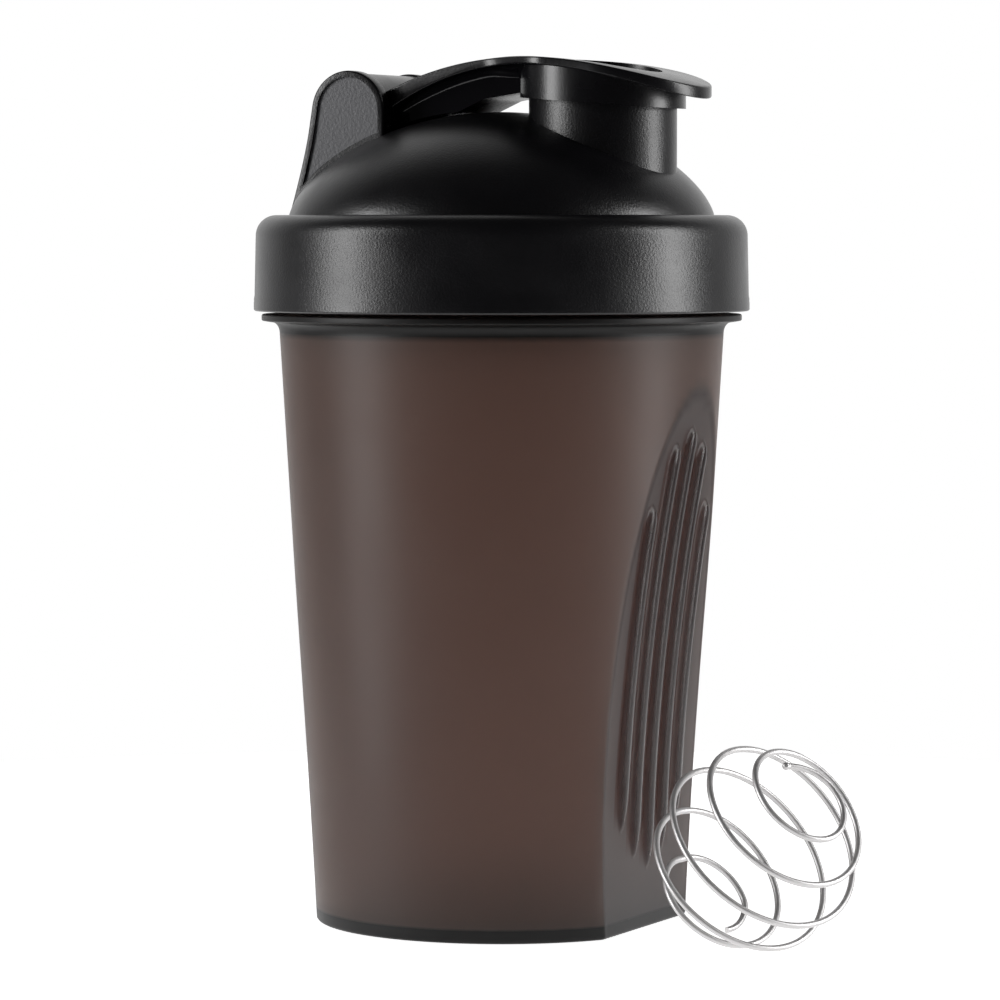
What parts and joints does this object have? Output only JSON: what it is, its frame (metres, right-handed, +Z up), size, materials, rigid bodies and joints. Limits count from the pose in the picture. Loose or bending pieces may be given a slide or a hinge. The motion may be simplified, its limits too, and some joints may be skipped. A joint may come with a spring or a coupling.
{
  "type": "shaker bottle",
  "caption": "Tapered shaker cup with ribbed scooped grips, a screw lid with a drinking spout, a hinged flip cap and a loose wire whisk ball.",
  "frame": {"origin": "middle of the cup's flat base", "axes": "+Z up the cup's axis, +X from the hinge to the drinking spout, Y along the flip cap's hinge"},
  "size_m": [0.1293, 0.0962, 0.1671],
  "materials": {
    "cup_plastic": "frosted translucent smoke brown",
    "lid_plastic": "satin black with a fine grain",
    "cap_plastic": "satin black, smoother than the lid",
    "gasket_rubber": "translucent grey silicone",
    "steel_wire": "bright drawn stainless wire"
  },
  "bodies": {
    "cup": {"cup": "cup_plastic"},
    "gasket": {"lid_gasket": "gasket_rubber"},
    "lid": {"lid": "lid_plastic"},
    "flip_cap": {"flip_cap": "cap_plastic"},
    "whisk_ball": {"whisk_ball": "steel_wire"}
  },
  "joints": [
    {"name": "lid_rise", "type": "slide", "parent": "cup", "child": "gasket", "axis": [0, 0, 1], "range_m": [0, 0.02]},
    {"name": "lid_turn", "type": "hinge", "parent": "gasket", "child": "lid", "pos_m": [0, 0, 0.1185], "axis": [0, 0, 1], "range_deg": [0, 720]},
    {"name": "flip_cap_hinge", "type": "hinge", "parent": "lid", "child": "flip_cap", "pos_m": [-0.0262, 0, 0.15705], "axis": [0, -1, 0], "range_deg": [0, 140]},
    {"name": "whisk_ball_slide", "type": "slide", "parent": "cup", "child": "whisk_ball", "axis": [1, 0, 0], "range_m": [0, 0.1]}
  ],
  "couplings": [
    {"joint": "lid_rise", "follows": "lid_turn", "m_per_rad": 0.0015915}
  ]
}
